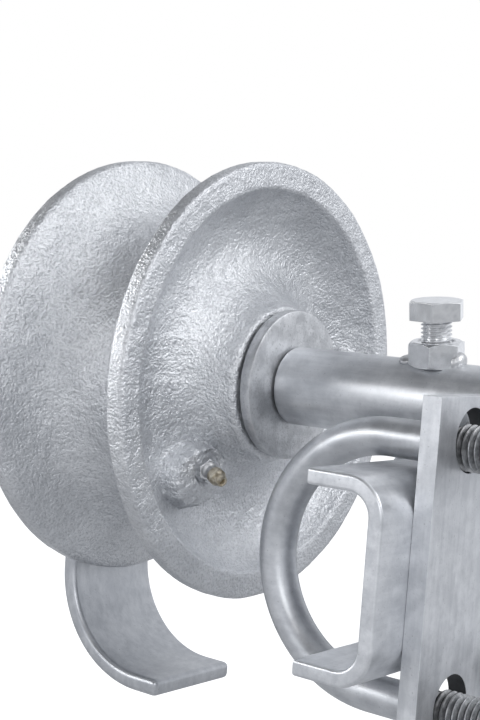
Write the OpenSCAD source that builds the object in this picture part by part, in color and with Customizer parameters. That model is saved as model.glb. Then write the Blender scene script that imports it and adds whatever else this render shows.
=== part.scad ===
// Gate wheel: a grooved cast wheel on a stub axle, held in a pipe sleeve on a plate that two
// U-bolts clamp to a gate-frame pipe. Millimetres. Origin: wheel centre on the axle. The wheel
// spins about Y and rolls along X. The plate is on the -Y side, the guard on the +Y side, +Z is up.

/* [Wheel] */
// Diameter over the flanges
wheel_d = 152.4; // [140:0.1:170]
// Width over the flange faces
wheel_w = 66; // [60:0.5:80]
// Width of the outer band on each rim
rim_band_w = 6; // [4:0.5:8]
// Diameter at the bottom of the groove
throat_d = 100; // [90:0.5:104]
// Radius of the groove's bottom
groove_r = 24; // [20:0.5:26]
// Radial width of the flat ring on each face
face_ring_w = 9; // [6:0.5:12]
// Depth of the dish below the line from the hub's end to the ring
dish_sag = 15.3; // [12:0.1:16]
// Diameter of the hub's end
hub_d = 54; // [50:0.5:58]
// How far each hub end stands proud of the flange faces
hub_proud = 5.1; // [3:0.1:8]
// Bevel on the rim's edges
rim_bevel = 1; // [0.4:0.1:2]

/* [Bearings] */
// Bore of the hub
hub_bore_d = 40; // [36:0.5:42]
// Wall of the outer races
race_wall = 2.2; // [1.6:0.1:3]
// Length of each outer race and its rollers
race_l = 26; // [20:0.5:30]
// Roller diameter
roller_d = 6; // [5:0.25:6.5]
// Rollers in each cage
roller_count = 12; // [8:1:14]
// Running clearance round rollers and shafts, on the radius
run_gap = 0.05; // [0.03:0.01:0.1]
// Thickness of the hub's dust seals
seal_t = 4; // [3:0.5:6]

/* [Grease boss] */
// Distance of the grease nipple from the axle line
nipple_at_r = 40; // [38:0.5:44]
// Place of the grease nipple round the hub, in degrees from +X towards +Z
nipple_at_deg = 226; // [200:1:250]
// Outward tilt of the grease nipple, in degrees
nipple_tilt = 25; // [15:1:35]
// Diameter of the boss at its face
boss_d = 21; // [16:0.5:24]
// Width across flats of the nipple's hexagon
nipple_af = 7; // [7:1:9]
// Diameter of the nipple's head
nipple_head_d = 6.5; // [6:0.1:7]

/* [Axle] */
// Axle diameter
axle_d = 20; // [18:0.5:20]
// Outer diameter of the thrust washers
thrust_d = 51.5; // [44:0.5:56]
// Thickness of the thrust washers
thrust_t = 4.1; // [3:0.1:6]
// End play beside the thrust washers
thrust_gap = 1.3; // [0.5:0.1:2]
// Width across flats of the nut on the axle's end
end_nut_af = 30; // [27:1:32]
// Height of the nut on the axle's end
end_nut_h = 16; // [12:0.5:20]
// Thickness of the lock washer under that nut
end_washer_t = 4; // [2.5:0.5:5]

/* [Guard] */
// Width of the guard's flat bar
guard_w = 42; // [36:0.5:46]
// Thickness of the guard's flat bar
guard_t = 6; // [5:0.5:8]
// Gap between the guard and the far flange
guard_gap = 2.4; // [2:0.1:6]
// Inner radius of the guard's hook
guard_hook_r = 33; // [28:0.5:36]
// Distance from the axle line to the inside of the hook's bottom
guard_drop = 108.4; // [104:0.2:116]
// Straight length past the hook
guard_lip = 10.7; // [6:0.1:16]
// Inner radius of the guard's two small bends
guard_jog_r = 16; // [12:0.5:18]
// Angle of those bends, in degrees
guard_jog_deg = 12; // [12:1:20]

/* [Sleeve and set bolt] */
// Outer diameter of the sleeve pipe
sleeve_d = 26.7; // [26:0.1:30]
// Clearance between axle and sleeve, on the radius
sleeve_gap = 0.35; // [0.2:0.05:0.6]
// How far the sleeve stands out of the plate's front face
sleeve_past = 2; // [0.5:0.5:6]
// Clearance between the sleeve and the plate's notch, on the radius
notch_gap = 0.1; // [0.05:0.05:0.3]
// Play between the near thrust washer and the sleeve's free end
sleeve_play = 0.7; // [0.5:0.1:4]
// Leg of the fillet weld between sleeve and plate
sleeve_weld_leg = 4; // [1:0.5:4]
// Set bolt thread diameter
set_bolt_d = 10; // [8:1:10]
// Width across flats of the set bolt's head and nut
set_bolt_af = 16; // [15:1:17]
// Height of the set bolt's head
set_bolt_head_h = 6.2; // [5:0.1:8]
// Height of the weld nut
weld_nut_h = 6.9; // [5:0.1:10]
// Thread left showing under the head
set_bolt_show = 6.9; // [3:0.1:10]
// Distance of the set bolt from the plate's back
set_bolt_to_plate = 23.9; // [16:0.1:30]
// Lean of the set bolt away from straight up, in degrees
set_bolt_lean = 9.3; // [0:0.1:12]

/* [Plate] */
// Distance from the wheel's centre to the plate's back face
plate_back = 123.6; // [112:0.2:140]
// Plate thickness
plate_t = 6.2; // [5:0.1:8]
// Plate width
plate_w = 98.4; // [92:0.2:120]
// Distance from the lower holes to the plate's bottom edge
hole_to_bottom = 18.3; // [12:0.1:30]
// Height of the plate's top edge above the axle line
plate_top = 5.8; // [4:0.1:9]
// Diameter of the four holes
hole_d = 19.2; // [18:0.1:22]
// Distance from the plate's top edge to the upper holes
hole_to_top = 13; // [11:0.1:16]

/* [Clamp] */
// Rod diameter of the U-bolts
rod_d = 12; // [10:0.5:12.5]
// Thread diameter of the U-bolts
thread_d = 14; // [12:0.5:14]
// Distance between the two legs of a U-bolt
leg_pitch = 78.7; // [76:0.1:84]
// Distance between the two U-bolts
u_bolt_pitch = 59.2; // [54:0.2:64]
// Clearance left under the U-bolts, which hang down in their oversize holes
u_bolt_seat_gap = 0.3; // [0.1:0.1:1]
// Outer diameter of the frame pipe that the U-bolts hold
frame_pipe_d = 60.3; // [57:0.1:63.5]
// How far the left U-bolt is drawn back from the clamped place
left_slack = 18.6; // [8:0.1:24]
// How far the right U-bolt is drawn back from the clamped place
right_slack = 22; // [8:0.1:24]
// Plain length of each leg between bend and thread
shank_l = 21.9; // [16:0.1:26]
// Thread past the nuts
thread_past_nut = 6; // [3:0.5:10]
// Width across flats of the U-bolt nuts
nut_af = 22; // [21:1:24]
// Height of the U-bolt nuts
nut_h = 12; // [10:0.5:14]
// Outer diameter of the flat washers
washer_d = 30; // [28:0.5:32]
// Thickness of the flat washers
washer_t = 2.5; // [2:0.1:3]
// Outer diameter of the lock washers
lock_washer_d = 23; // [22:0.5:25]
// Thickness of the lock washers
lock_washer_t = 3.5; // [2.5:0.1:4]

/* [Saddle] */
// Thickness of the saddle's flat bar
saddle_t = 4.9; // [4:0.1:6]
// Height of the saddle over its flanges
saddle_h = 60.5; // [58:0.1:62]
// Depth of the saddle, from its back to its tips
saddle_depth = 26.5; // [24:0.1:30]
// How far the saddle's ends stand past the plate's sides
saddle_past = 16.3; // [10:0.1:24]
// Inner radius of the saddle's bends
saddle_bend_r = 7; // [4:0.5:10]
// Height of the saddle's middle above the middle of the U-bolts' legs
saddle_rise = 1.05; // [-2:0.05:1.2]

/* [Hidden] */

eps = 0.01;
round_fn = 96;
washer_bevel = 0.7;
hex_fn = 6;
cast_grey = "silver";
zinc_grey = "gainsboro";

// wheel
wheel_r = wheel_d / 2;
half_w = wheel_w / 2;
hub_end = half_w + hub_proud;
hub_bore_r = hub_bore_d / 2;
groove_at_r = throat_d / 2 + groove_r;
rim_inner = half_w - rim_band_w;
face_r = wheel_r - face_ring_w;

// bearings, from the outer race inwards
race_in_r = hub_bore_r - race_wall;
roller_at_r = race_in_r - run_gap - roller_d / 2;
bushing_r = roller_at_r - roller_d / 2 - run_gap;
race_far = hub_end - seal_t - 0.3;
race_near = race_far - race_l;
cage_r = roller_at_r + 0.9;
cage_in_r = roller_at_r - 0.9;
cage_end_t = 2;

// axle line, outwards from the hub
thrust_in = hub_end + thrust_gap;
thrust_out = thrust_in + thrust_t;
guard_face = thrust_out + 0.1;
end_washer_at = guard_face + guard_t;
end_nut_at = end_washer_at + end_washer_t;
axle_far = end_nut_at + end_nut_h + 5;
axle_near = plate_back - 6;
axle_bore_d = axle_d + 2 * run_gap;

// guard
guard_low_face = half_w + guard_gap;
guard_jog = guard_face - guard_low_face;
guard_head_l = hub_d / 2 + 1;
jog_turn = (guard_jog_r + guard_jog_r + guard_t) * (1 - cos(guard_jog_deg));
jog_l = (guard_jog - jog_turn) / sin(guard_jog_deg);
jog_drop = (2 * guard_jog_r + guard_t) * sin(guard_jog_deg) + jog_l * cos(guard_jog_deg);
guard_low_l = guard_drop - guard_hook_r - guard_head_l - jog_drop;

// sleeve and set bolt
sleeve_r = sleeve_d / 2;
sleeve_bore_d = axle_d + 2 * sleeve_gap;
sleeve_start = thrust_out + sleeve_play;
set_bolt_at = plate_back - set_bolt_to_plate;
weld_nut_top = sleeve_r + weld_nut_h;
set_head_at = weld_nut_top + set_bolt_show;
set_tip_at = axle_d / 2 + 0.3;
set_hole_gap = 0.3;
weld_gap = 0.2;
head_turn = 22;
weld_nut_turn = 16;

// plate and clamp
plate_front = plate_back + plate_t;
plate_h = hole_to_top + leg_pitch + hole_to_bottom;
upper_hole_z = plate_top - hole_to_top;
hole_mid_z = upper_hole_z - leg_pitch / 2;
leg_top_z = upper_hole_z - (hole_d - thread_d) / 2 + u_bolt_seat_gap;
leg_mid_z = leg_top_z - leg_pitch / 2;
rod_r = rod_d / 2;
bend_r = leg_pitch / 2;

// the pipe rests on the saddle's inner corners and the U-bolt's bend closes on its far side
saddle_tip = plate_back - saddle_depth;
saddle_inner_h = saddle_h - 2 * saddle_t;
pipe_r = frame_pipe_d / 2;
pipe_at = saddle_tip - sqrt(pow(pipe_r, 2) - pow(saddle_inner_h / 2, 2));
bend_clamped_at = pipe_at - pipe_r + bend_r - rod_r;
thread_start = bend_clamped_at + shank_l;
lock_washer_at = plate_front + washer_t;
nut_at = lock_washer_at + lock_washer_t;
leg_end = nut_at + nut_h + thread_past_nut;
saddle_l = plate_w + 2 * saddle_past;

// the sleeve's weld stops short of the saddle below it
saddle_below = -leg_mid_z - saddle_rise;
saddle_top = saddle_below - saddle_h / 2;
weld_leg = min(sleeve_weld_leg, saddle_top - sleeve_r - weld_gap);
saddle_flat = saddle_depth - saddle_t - saddle_bend_r;
saddle_web = saddle_h - 2 * (saddle_t + saddle_bend_r);

// local +Z becomes +Y
module along_y() rotate([-90, 0, 0]) children();

// local +Z becomes -Y
module along_minus_y() rotate([90, 0, 0]) children();

module ring(outer_r, inner_r, h) {
    difference() {
        cylinder(r = outer_r, h = h, $fn = round_fn);
        translate([0, 0, -eps]) cylinder(r = inner_r, h = h + 2 * eps, $fn = round_fn);
    }
}

// ring with its outer corners broken
module washer(outer_r, inner_r, h, bevel) {
    rotate_extrude($fn = round_fn) polygon([
        [inner_r, 0], [outer_r - bevel, 0], [outer_r, bevel], [outer_r, h - bevel],
        [outer_r - bevel, h], [inner_r, h]
    ]);
}

// hexagon with its corners turned down at both ends
module hex_body(af, h, bore_d = 0) {
    corner_r = af / sqrt(3);
    difference() {
        intersection() {
            cylinder(r = corner_r, h = h, $fn = hex_fn);
            union() {
                cylinder(r1 = af / 2 * 0.98, r2 = corner_r + 0.1, h = h * 0.1, $fn = round_fn);
                translate([0, 0, h * 0.1]) cylinder(r = corner_r + 0.1, h = h * 0.8, $fn = round_fn);
                translate([0, 0, h * 0.9])
                    cylinder(r1 = corner_r + 0.1, r2 = af / 2 * 0.98, h = h * 0.1, $fn = round_fn);
            }
        }
        if (bore_d > 0) translate([0, 0, -eps]) cylinder(d = bore_d, h = h + 2 * eps, $fn = round_fn);
    }
}

// flat bar that runs along +X with its thickness towards +Y and is centred on Z. Each step is
// [length] or [angle, inner radius]; a positive angle bends it towards -Y.
module flat_bar(w, t, steps, i = 0) {
    if (i < len(steps)) {
        step = steps[i];
        if (len(step) == 1) {
            translate([0, 0, -w / 2]) cube([step[0], t, w]);
            translate([step[0], 0, 0]) flat_bar(w, t, steps, i + 1);
        } else if (step[0] > 0) {
            translate([0, -step[1], 0]) {
                rotate([0, 0, 90 - step[0]]) bar_bend(w, t, step[0], step[1]);
                rotate([0, 0, -step[0]]) translate([0, step[1], 0]) flat_bar(w, t, steps, i + 1);
            }
        } else {
            translate([0, t + step[1], 0]) {
                rotate([0, 0, -90]) bar_bend(w, t, -step[0], step[1]);
                rotate([0, 0, -step[0]])
                    translate([0, -t - step[1], 0]) flat_bar(w, t, steps, i + 1);
            }
        }
    }
}

module bar_bend(w, t, angle, inner_r) {
    rotate_extrude(angle = angle, $fn = round_fn) translate([inner_r, -w / 2]) square([t, w]);
}

// ---- wheel ----

// half of the wheel's section, as radius and distance from the middle. The dish is one arc that
// runs from the hub's end to the flat ring.
module wheel_half_section() {
    chord = [face_r - hub_d / 2, half_w - hub_end];
    half_chord = norm(chord) / 2;
    dish_r = (pow(half_chord, 2) + pow(dish_sag, 2)) / (2 * dish_sag);
    middle = [hub_d / 2 + chord[0] / 2, hub_end + chord[1] / 2];
    rise = (dish_r - dish_sag) / norm(chord);
    difference() {
        polygon([
            [hub_bore_r, 0], [hub_bore_r, hub_end], [hub_d / 2 - rim_bevel, hub_end],
            [hub_d / 2, hub_end - rim_bevel], [hub_d / 2 + 1, half_w], [face_r, half_w],
            [wheel_r - rim_bevel, half_w], [wheel_r, half_w - rim_bevel], [wheel_r, 0]
        ]);
        translate([middle[0] - chord[1] * rise, middle[1] + chord[0] * rise])
            circle(r = dish_r, $fn = round_fn);
        groove_half_section();
    }
}

// the groove: a round bottom that runs out in straight flanks to the rim's inner edge
module groove_half_section() {
    edge_in = wheel_r - groove_at_r;
    edge_dist = sqrt(pow(edge_in, 2) + pow(rim_inner, 2));
    touch_deg = atan2(rim_inner, edge_in) + acos(groove_r / edge_dist);
    touch = [groove_at_r + groove_r * cos(touch_deg), groove_r * sin(touch_deg)];
    intersection() {
        translate([groove_at_r, 0]) circle(r = groove_r, $fn = round_fn);
        translate([0, -eps]) square([wheel_r + 1, wheel_w]);
    }
    polygon([
        [groove_at_r, -eps], touch, [wheel_r, rim_inner], [wheel_r + 1, rim_inner + 1],
        [wheel_r + 1, -eps]
    ]);
}

// from the axle line to the nipple's seat, with +Z along the nipple
module at_nipple() {
    rotate([0, -nipple_at_deg, 0]) translate([nipple_at_r, -nipple_seat, 0])
        rotate([0, 0, nipple_tilt]) along_minus_y() children();
}
nipple_seat = 29;
seat_depth = 1.6;
seat_d = 10.4;
boss_out = 3.8;
boss_l = 16;
passage_d = 3;
passage_l = (nipple_at_r - hub_bore_r) / sin(nipple_tilt) + 4;

module wheel_casting() color(cast_grey) {
    difference() {
        union() {
            rotate([-90, 0, 0]) rotate_extrude($fn = round_fn) wheel_half_section();
            rotate([90, 0, 0]) rotate_extrude($fn = round_fn) wheel_half_section();
            at_nipple() translate([boss_out, 0, -boss_l])
                cylinder(d1 = boss_d + 5, d2 = boss_d, h = boss_l + seat_depth, $fn = round_fn);
        }
        at_nipple() cylinder(d = seat_d, h = 12, $fn = round_fn);
        along_y() translate([0, 0, -hub_end - 1])
            cylinder(r = hub_bore_r, h = 2 * hub_end + 2, $fn = round_fn);
        at_nipple() translate([0, 0, -passage_l]) cylinder(d = passage_d, h = passage_l + 1, $fn = 32);
    }
}

module grease_nipple() color("darkkhaki") at_nipple() {
    hex_body(nipple_af, 3);
    translate([0, 0, 3]) cylinder(d1 = 5.4, d2 = 4.6, h = 3, $fn = round_fn);
    translate([0, 0, 6]) cylinder(d = nipple_head_d, h = 3.6, $fn = round_fn);
    translate([0, 0, 9.6]) cylinder(d1 = nipple_head_d, d2 = 3.4, h = 2.4, $fn = round_fn);
}

// ---- bearings; side is -1 for the near end and 1 for the far end ----

module at_race(side) {
    if (side > 0) along_y() translate([0, 0, race_near]) children();
    else along_minus_y() translate([0, 0, race_near]) children();
}

module outer_race(side) color("dimgray") at_race(side)
    ring(hub_bore_r - 0.01, race_in_r, race_l);

module roller_cage(side) color("goldenrod") at_race(side) {
    for (z = [0, race_l - cage_end_t]) translate([0, 0, z]) ring(cage_r, cage_in_r, cage_end_t);
    for (i = [0 : roller_count - 1]) rotate([0, 0, (i + 0.5) * 360 / roller_count])
        translate([roller_at_r, 0, cage_end_t - eps])
            cylinder(d = 1.2, h = race_l - 2 * cage_end_t + 2 * eps, $fn = 24);
}

module rollers(side) color("lightsteelblue") at_race(side)
    for (i = [0 : roller_count - 1]) rotate([0, 0, i * 360 / roller_count])
        translate([roller_at_r, 0, cage_end_t + 0.1])
            cylinder(d = roller_d, h = race_l - 2 * cage_end_t - 0.2, $fn = round_fn);

module dust_seal(side) color("black")
    rotate([side > 0 ? -90 : 90, 0, 0]) translate([0, 0, hub_end - seal_t])
        ring(hub_bore_r - 0.01, bushing_r + 0.1, seal_t - 0.4);

module near_outer_race() outer_race(-1);
module far_outer_race() outer_race(1);
module near_roller_cage() roller_cage(-1);
module far_roller_cage() roller_cage(1);
module near_rollers() rollers(-1);
module far_rollers() rollers(1);
module near_dust_seal() dust_seal(-1);
module far_dust_seal() dust_seal(1);

// ---- axle and what sits on it ----

module axle_shaft() color(zinc_grey) {
    along_minus_y() translate([0, 0, -axle_far + 1.5])
        cylinder(d = axle_d, h = axle_far + axle_near - 3, $fn = round_fn);
    along_y() translate([0, 0, axle_far - 1.5])
        cylinder(d1 = axle_d, d2 = axle_d - 3, h = 1.5, $fn = round_fn);
    along_minus_y() translate([0, 0, axle_near - 1.5])
        cylinder(d1 = axle_d, d2 = axle_d - 3, h = 1.5, $fn = round_fn);
}

module inner_bushing() color("slategray") along_y() translate([0, 0, -thrust_in + 0.05])
    ring(bushing_r, axle_bore_d / 2, 2 * thrust_in - 0.1);

module thrust_washer(side) color(zinc_grey) rotate([side > 0 ? -90 : 90, 0, 0])
    translate([0, 0, thrust_in]) washer(thrust_d / 2, axle_bore_d / 2, thrust_t, washer_bevel);

module near_thrust_washer() thrust_washer(-1);
module far_thrust_washer() thrust_washer(1);

module split_ring(outer_d, bore_d, t, slit) {
    difference() {
        ring(outer_d / 2, bore_d / 2, t);
        rotate([0, 0, 35]) translate([0, -slit / 2, -1]) cube([outer_d, slit, t + 2]);
    }
}

module axle_end_washer() color(zinc_grey) along_y() translate([0, 0, end_washer_at])
    split_ring(end_nut_af + 3, axle_bore_d, end_washer_t, 3);

module axle_end_nut() color(zinc_grey) along_y() translate([0, 0, end_nut_at])
    hex_body(end_nut_af, end_nut_h, axle_bore_d);

// ---- guard ----

module guard_hook() color(zinc_grey) {
    difference() {
        union() {
            translate([0, guard_face, 0]) rotate([0, 90, 0]) flat_bar(guard_w, guard_t, [
                [guard_head_l], [guard_jog_deg, guard_jog_r], [jog_l],
                [-guard_jog_deg, guard_jog_r], [guard_low_l], [90, guard_hook_r], [guard_lip]
            ]);
            along_y() translate([0, 0, guard_face]) cylinder(d = guard_w, h = guard_t, $fn = round_fn);
        }
        along_y() translate([0, 0, guard_face - 1])
            cylinder(d = axle_bore_d, h = guard_t + 2, $fn = round_fn);
    }
}

// ---- sleeve, weld nut and set bolt ----

// from the axle line to the set bolt's axis, with +Z along the bolt
module at_set_bolt() translate([0, -set_bolt_at, 0]) rotate([0, -set_bolt_lean, 0]) children();

module axle_sleeve() color(zinc_grey) difference() {
    along_minus_y() translate([0, 0, sleeve_start])
        ring(sleeve_r, sleeve_bore_d / 2, plate_front + sleeve_past - sleeve_start);
    at_set_bolt() cylinder(d = set_bolt_d + 2 * set_hole_gap, h = sleeve_d, $fn = round_fn);
}

// fillet weld round the sleeve where it meets the plate
module sleeve_weld() color("darkgray") intersection() {
    along_minus_y() difference() {
        translate([0, 0, plate_back - weld_leg])
            cylinder(r1 = sleeve_r, r2 = sleeve_r + weld_leg, h = weld_leg, $fn = round_fn);
        translate([0, 0, plate_back - 6]) cylinder(r = sleeve_r, h = 7, $fn = round_fn);
    }
    translate([-sleeve_d, -plate_back, plate_top - 2 * sleeve_d - 2])
        cube([2 * sleeve_d, 10, 2 * sleeve_d]);
}

module weld_nut() color("lightgray") difference() {
    at_set_bolt() translate([0, 0, sleeve_r - 1.6])
        rotate([0, 0, weld_nut_turn]) hex_body(set_bolt_af, weld_nut_h + 1.6, set_bolt_d + 2 * set_hole_gap);
    along_minus_y() translate([0, 0, set_bolt_at - 20])
        cylinder(r = sleeve_r, h = 40, $fn = round_fn);
}

module weld_nut_beads() color("darkgray") difference() {
    at_set_bolt() for (side = [-1, 1]) translate([0, side * 9.6, sleeve_r - 0.4])
        sphere(r = 3.4, $fn = 48);
    along_minus_y() translate([0, 0, set_bolt_at - 20])
        cylinder(r = sleeve_r, h = 40, $fn = round_fn);
    at_set_bolt() translate([0, 0, sleeve_r - 4])
        rotate([0, 0, weld_nut_turn]) cylinder(r = set_bolt_af / sqrt(3), h = 16, $fn = hex_fn);
}

module set_bolt() color("whitesmoke") at_set_bolt() {
    translate([0, 0, set_tip_at]) cylinder(d1 = set_bolt_d - 2, d2 = set_bolt_d, h = 1, $fn = round_fn);
    translate([0, 0, set_tip_at + 1])
        cylinder(d = set_bolt_d, h = set_head_at - set_tip_at - 1, $fn = round_fn);
    translate([0, 0, set_head_at]) rotate([0, 0, head_turn]) hex_body(set_bolt_af, set_bolt_head_h);
}

// ---- plate and saddle ----

module mounting_plate() color(zinc_grey) difference() {
    translate([-plate_w / 2, -plate_front, plate_top - plate_h]) cube([plate_w, plate_t, plate_h]);
    for (x = [-1, 1], z = [-1, 1])
        translate([x * u_bolt_pitch / 2, -plate_back + 1, hole_mid_z + z * leg_pitch / 2])
            along_minus_y() cylinder(d = hole_d, h = plate_t + 2, $fn = round_fn);
    along_minus_y() translate([0, 0, plate_back - 1])
        cylinder(r = sleeve_r + notch_gap, h = plate_t + 2, $fn = round_fn);
}

module clamp_saddle() color(zinc_grey)
    translate([0, -saddle_tip, -saddle_below + saddle_h / 2 - saddle_t]) rotate([90, 0, -90])
        flat_bar(saddle_l, saddle_t, [
            [saddle_flat], [90, saddle_bend_r], [saddle_web], [90, saddle_bend_r], [saddle_flat]
        ]);

// two fillet welds between the plate and the saddle's bends, above and below its back
module saddle_weld() color("darkgray") for (side = [-1, 1]) difference() {
    translate([-saddle_weld_l / 2, -plate_back, -saddle_below + side * (saddle_h / 2 - bend_out / 2)])
        rotate([0, 90, 0]) linear_extrude(height = saddle_weld_l) polygon([
            [-bend_out / 2, 0], [bend_out / 2, 0], [side * bend_out / 2, 0.1],
            [-side * (bend_out / 2 - 1), bend_out * 0.45]
        ]);
    translate([-saddle_l / 2, -plate_back + bend_out, -saddle_below + side * (saddle_h / 2 - bend_out)])
        rotate([0, 90, 0]) cylinder(r = bend_out, h = saddle_l, $fn = round_fn);
}
saddle_weld_l = 30;
bend_out = saddle_t + saddle_bend_r;

// ---- U-bolts, nuts and washers; side is -1 for the left one and 1 for the right one ----

function slack(side) = side < 0 ? left_slack : right_slack;

// from the clamped place on the axle line to a drawn-back leg, with +Z along the leg
module at_leg(side, top)
    translate([side * u_bolt_pitch / 2, -slack(side), leg_mid_z + top * leg_pitch / 2])
        along_minus_y() children();

module u_bolt(side) color(zinc_grey) {
    for (top = [-1, 1]) at_leg(side, top) {
        translate([0, 0, bend_clamped_at]) cylinder(r = rod_r, h = shank_l, $fn = round_fn);
        translate([0, 0, thread_start])
            cylinder(d1 = rod_d, d2 = thread_d, h = (thread_d - rod_d) / 2, $fn = round_fn);
        translate([0, 0, thread_start + (thread_d - rod_d) / 2])
            cylinder(d = thread_d, h = leg_end - thread_start - (thread_d - rod_d) / 2 - 1.5,
                     $fn = round_fn);
        translate([0, 0, leg_end - 1.5])
            cylinder(d1 = thread_d, d2 = thread_d - 3, h = 1.5, $fn = round_fn);
    }
    translate([side * u_bolt_pitch / 2, -bend_clamped_at - slack(side), leg_mid_z]) rotate([0, 90, 0])
        rotate_extrude(angle = 180, $fn = round_fn) translate([bend_r, 0])
            circle(r = rod_r, $fn = round_fn);
}

nut_bore_d = thread_d + 2 * run_gap;

module flat_washers(side) color(zinc_grey) for (top = [-1, 1]) at_leg(side, top)
    translate([0, 0, plate_front]) washer(washer_d / 2, nut_bore_d / 2 + 0.25, washer_t, 0.4);

module lock_washers(side) color("darkgray") for (top = [-1, 1]) at_leg(side, top)
    translate([0, 0, lock_washer_at]) split_ring(lock_washer_d, nut_bore_d + 0.3, lock_washer_t, 2.5);

module hex_nuts(side) color(zinc_grey) for (top = [-1, 1]) at_leg(side, top)
    translate([0, 0, nut_at]) rotate([0, 0, 12 * top]) hex_body(nut_af, nut_h, nut_bore_d);

module left_u_bolt() u_bolt(-1);
module left_flat_washers() flat_washers(-1);
module left_lock_washers() lock_washers(-1);
module left_nuts() hex_nuts(-1);
module right_u_bolt() u_bolt(1);
module right_flat_washers() flat_washers(1);
module right_lock_washers() lock_washers(1);
module right_nuts() hex_nuts(1);

wheel_casting();
grease_nipple();
near_outer_race();
far_outer_race();
near_roller_cage();
far_roller_cage();
near_rollers();
far_rollers();
near_dust_seal();
far_dust_seal();
axle_shaft();
inner_bushing();
near_thrust_washer();
far_thrust_washer();
axle_end_washer();
axle_end_nut();
guard_hook();
axle_sleeve();
sleeve_weld();
weld_nut();
weld_nut_beads();
mounting_plate();
clamp_saddle();
saddle_weld();
set_bolt();
left_u_bolt();
left_flat_washers();
left_lock_washers();
left_nuts();
right_u_bolt();
right_flat_washers();
right_lock_washers();
right_nuts();
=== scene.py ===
import math

import bpy
from mathutils import Matrix, Vector


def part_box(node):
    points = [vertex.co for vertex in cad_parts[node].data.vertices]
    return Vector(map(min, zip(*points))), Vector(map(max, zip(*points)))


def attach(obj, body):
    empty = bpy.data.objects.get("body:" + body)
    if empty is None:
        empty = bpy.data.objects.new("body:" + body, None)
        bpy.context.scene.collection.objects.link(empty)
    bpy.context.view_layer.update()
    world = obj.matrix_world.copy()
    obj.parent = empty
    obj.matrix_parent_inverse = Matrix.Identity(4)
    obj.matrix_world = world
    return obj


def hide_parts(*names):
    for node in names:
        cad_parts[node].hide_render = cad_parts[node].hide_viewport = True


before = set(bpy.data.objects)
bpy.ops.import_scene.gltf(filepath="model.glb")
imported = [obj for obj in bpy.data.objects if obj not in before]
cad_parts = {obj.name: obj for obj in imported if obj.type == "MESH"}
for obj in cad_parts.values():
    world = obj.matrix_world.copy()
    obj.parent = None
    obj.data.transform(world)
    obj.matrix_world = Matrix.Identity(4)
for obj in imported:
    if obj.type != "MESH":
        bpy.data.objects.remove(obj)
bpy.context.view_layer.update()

# A galvanised gate wheel: a grooved casting on a stub axle, a sleeve and plate bracket with a saddle
# and two U-bolts, and a hooked guard bar. Metres. The axle line is the Y axis, +Z is up.

MM = 0.001
TURN = 2 * math.pi

# ---------------------------------------------------------------- sizes, all taken from the frame

wheel_low, wheel_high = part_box("wheel_casting")
rim_radius = wheel_high.x
hub_end = wheel_high.y
hub_proud = 5.1 * MM
rim_band = 6 * MM
face_ring = 9 * MM
half_width = hub_end - hub_proud
rim_edge = half_width - rim_band
groove_bottom = 50 * MM
groove_curve = 24 * MM
groove_centre = groove_bottom + groove_curve
face_ring_inner = rim_radius - face_ring
hub_radius = 27 * MM
hub_bore = 20 * MM
dish_sag = 15.3 * MM
boss_angle = math.radians(228)
boss_reach = 43.6 * MM
boss_flat = 9.9 * MM
boss_fall = 1.9 * MM

washer_low, washer_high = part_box("near_thrust_washer")
washer_radius = washer_high.x
axle_low, axle_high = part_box("axle_shaft")
axle_radius = axle_high.x
running_gap = 0.05 * MM
split_sweep = TURN * 0.965
sleeve_low, sleeve_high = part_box("axle_sleeve")
sleeve_radius = sleeve_high.x
sleeve_bore = axle_radius + 0.35 * MM

plate_low, plate_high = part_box("mounting_plate")
saddle_low, saddle_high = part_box("clamp_saddle")
saddle_thick = 4.9 * MM
saddle_bend = 7 * MM
hole_radius = 9.6 * MM
hole_below_top = 13 * MM

bolt_low, bolt_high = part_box("left_u_bolt")
rod_radius = 6 * MM
thread_radius = 7 * MM
leg_gap = bolt_high.z - bolt_low.z - 2 * thread_radius
leg_middle = (bolt_high.z + bolt_low.z) / 2
left_bolt_x = (bolt_low.x + bolt_high.x) / 2
right_bolt_x = -left_bolt_x
shank = 21.9 * MM
nut_flats = 22 * MM
lock_outer = 11.5 * MM

guard_low, guard_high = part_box("guard_hook")
guard_thick = 6 * MM
guard_width = guard_high.x - guard_low.x
guard_face = guard_high.y - guard_thick
guard_gap = 2.4 * MM
guard_lip = 10.7 * MM

lean = math.radians(9.3)
set_bolt_y = plate_high.y + 23.9 * MM
set_flats = 16 * MM
set_head_low = 27.15 * MM
set_head_height = 6.2 * MM
weld_nut_height = 6.9 * MM
nipple_angle = math.radians(226)
nipple_reach = 40 * MM
nipple_tilt = math.radians(25)
nipple_seat = 29 * MM


# ---------------------------------------------------------------- bench tools

def clear_bench():
    if bpy.context.view_layer.objects.active and bpy.context.object.mode != "OBJECT":
        bpy.ops.object.mode_set(mode="OBJECT")
    bpy.ops.object.select_all(action="DESELECT")


def open_mesh(piece=None):
    if piece is not None:
        clear_bench()
        piece.select_set(True)
        bpy.context.view_layer.objects.active = piece
    bpy.ops.object.mode_set(mode="EDIT")


def close_mesh():
    bpy.ops.object.mode_set(mode="OBJECT")


def settle():
    """Puts the piece's place, turn and scale into its mesh."""
    bpy.ops.object.transform_apply(location=True, rotation=True, scale=True)


def named(name):
    piece = bpy.context.object
    piece.name = name
    piece.data.name = name
    return piece


def tidy_faces():
    bpy.ops.mesh.select_all(action="SELECT")
    bpy.ops.mesh.remove_doubles(threshold=1e-6)
    bpy.ops.mesh.normals_make_consistent(inside=False)


def apply_modifier(piece, kind, **settings):
    clear_bench()
    piece.select_set(True)
    bpy.context.view_layer.objects.active = piece
    modifier = piece.modifiers.new(kind.title(), kind)
    for key, value in settings.items():
        setattr(modifier, key, value)
    bpy.ops.object.modifier_apply(modifier=modifier.name)


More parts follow.
